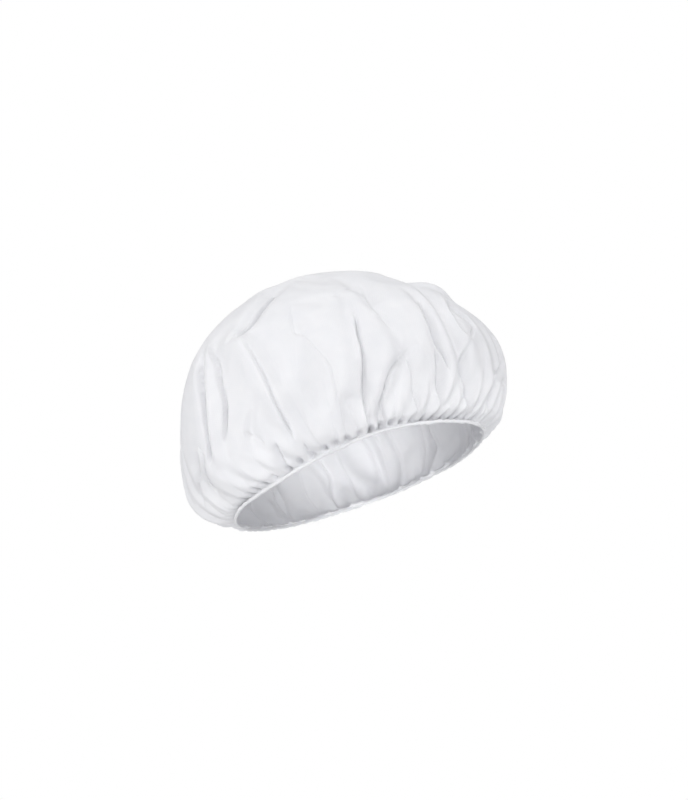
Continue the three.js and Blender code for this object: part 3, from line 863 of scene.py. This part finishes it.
def make_camera():
    e, r = math.radians(ELEVATION), math.radians(ROLL)
    ahead = Vector((0, math.cos(e), math.sin(e)))
    right = Vector((1, 0, 0))
    up = right.cross(ahead)
    across = math.cos(r) * right - math.sin(r) * up
    upward = math.sin(r) * right + math.cos(r) * up
    eye = -ahead * DISTANCE
    focal = DISTANCE / MM * PIXELS_PER_MM_AT_RIM
    # the view is turned so that the picture's middle is its axis, which leaves the eye where it is
    dx, dy = PICTURE[0] / 2 - RIM_PIXEL[0], RIM_PIXEL[1] - PICTURE[1] / 2
    ahead = (ahead * focal + across * dx + upward * dy).normalized()
    across = (across - ahead * across.dot(ahead)).normalized()
    upward = across.cross(ahead)
    data = bpy.data.cameras.new("camera")
    camera = bpy.data.objects.new("camera", data)
    bpy.context.scene.collection.objects.link(camera)
    camera.matrix_world = Matrix.Translation(eye) @ Matrix((across, upward, -ahead)).transposed().to_4x4()
    data.sensor_width = SENSOR
    data.lens = focal * SENSOR / PICTURE[1]
    data.clip_end = CLIP_END
    bpy.context.scene.camera = camera


# Soft boxes: name, place in metres, diameter and power in watts, all turned to the cap's middle
SOFT_BOXES = [
    ("high_left", (-1.4, -1.6, 1.7), 1.2, 22),
    ("left", (-2.2, -0.6, 0.5), 1.2, 14),
    ("top", (0.0, -0.4, 2.2), 1.5, 10),
    ("low_front", (0.0, -2.2, 0.1), 1.2, 21),
    ("high_right", (1.6, -1.2, 1.2), 1.2, 9),
    ("right", (2.2, -0.4, 0.4), 1.2, 15),
    ("back", (0.0, 1.8, 0.15), 0.8, 12),
]
CAP_MIDDLE = (0, 0, 0.07)
# Narrow beams that pass under the near rim to the far wall's inside: name, how far to the side it stands and
# points, and its power; their width in degrees and the size of their source
BEAMS = [("beam_left", -0.03, 42), ("beam_mid", 0.004, 34), ("beam_right", 0.038, 36)]
BEAM_FROM_Y, BEAM_FROM_Z = -1.0, -0.47
BEAM_TO_Y, BEAM_TO_Z = 0.085, 0.036
BEAM_WIDTH = 3.4
BEAM_SOURCE = 0.03
# the light of the surroundings, which are plain white where they are seen
SURROUNDINGS = 0.27


def place_light(data, place, target):
    light = bpy.data.objects.new(data.name, data)
    bpy.context.scene.collection.objects.link(light)
    light.location = place
    light.rotation_euler = (Vector(target) - Vector(place)).to_track_quat("-Z", "Y").to_euler()
    return light


def soft_box(name, place, size, power):
    data = bpy.data.lights.new(name, "AREA")
    data.shape = "DISK"
    data.size = size
    data.energy = power
    place_light(data, place, CAP_MIDDLE).visible_camera = False


def beam(name, x, power):
    data = bpy.data.lights.new(name, "SPOT")
    data.energy = power
    data.spot_size = math.radians(BEAM_WIDTH)
    data.spot_blend = 1.0
    data.shadow_soft_size = BEAM_SOURCE
    place_light(data, (x, BEAM_FROM_Y, BEAM_FROM_Z), (x, BEAM_TO_Y, BEAM_TO_Z))


def make_surroundings():
    world = bpy.data.worlds.new("studio")
    bpy.context.scene.world = world
    world.use_nodes = True
    tree = world.node_tree
    tree.nodes.clear()
    rays = tree.nodes.new("ShaderNodeLightPath")
    mix = tree.nodes.new("ShaderNodeMixShader")
    out = tree.nodes.new("ShaderNodeOutputWorld")
    tree.links.new(rays.outputs["Is Camera Ray"], mix.inputs[0])
    for socket, strength in ((1, SURROUNDINGS), (2, 1.0)):
        white = tree.nodes.new("ShaderNodeBackground")
        white.inputs["Color"].default_value = (1, 1, 1, 1)
        white.inputs["Strength"].default_value = strength
        tree.links.new(white.outputs[0], mix.inputs[socket])
    tree.links.new(mix.outputs[0], out.inputs[0])


# The floor is a round plate, in metres
FLOOR_RADIUS = 1.9
FLOOR_HEIGHT = -0.6
FLOOR_COLOUR = (0.86, 0.86, 0.87, 1)
FLOOR_ROUGHNESS = 0.9


def make_floor():
    bpy.ops.mesh.primitive_circle_add(radius=FLOOR_RADIUS, vertices=128, fill_type="NGON",
                                      location=(0, 0, FLOOR_HEIGHT))
    floor = bpy.context.object
    floor.name = "floor"
    pale = bpy.data.materials.new("pale_floor")
    pale.use_nodes = True
    shader = pale.node_tree.nodes["Principled BSDF"]
    shader.inputs["Base Color"].default_value = FLOOR_COLOUR
    shader.inputs["Roughness"].default_value = FLOOR_ROUGHNESS
    floor.data.materials.append(pale)


make_camera()
for box in SOFT_BOXES:
    soft_box(*box)
for row in BEAMS:
    beam(*row)
make_surroundings()
make_floor()
bpy.context.scene.view_settings.view_transform = "Standard"
